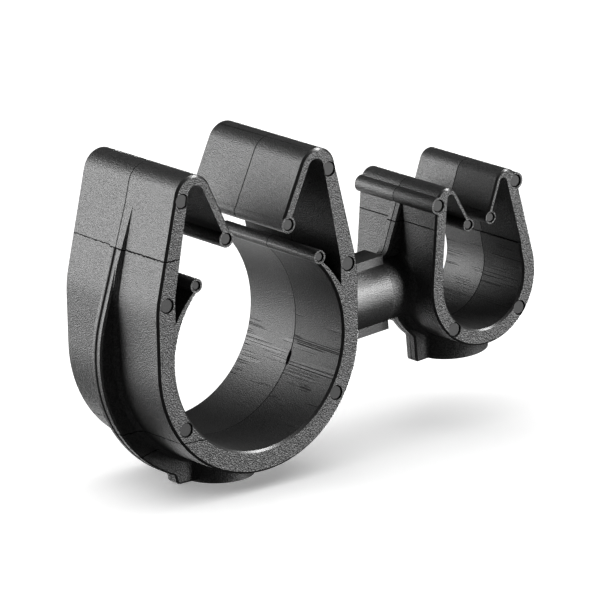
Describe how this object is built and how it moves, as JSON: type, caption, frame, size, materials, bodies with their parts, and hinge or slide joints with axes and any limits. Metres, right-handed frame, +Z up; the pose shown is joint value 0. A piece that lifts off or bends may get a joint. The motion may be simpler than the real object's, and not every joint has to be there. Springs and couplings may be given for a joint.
{
  "type": "cable clip",
  "caption": "Double spring clip in black moulded polyamide: a large and a small open-topped clip for round cables or conduits, side by side on a short keyed stem.",
  "frame": {"origin": "centre of the large bore, half way along its width", "axes": "+X from the large clip towards the small one, +Y along the bores, away from the faces with the ejector pin marks, +Z up to the open mouths"},
  "size_m": [0.0705, 0.0206, 0.0453],
  "materials": {
    "polyamide": "matte"
  },
  "bodies": {
    "root": {"double_clip": "polyamide"}
  },
  "joints": []
}
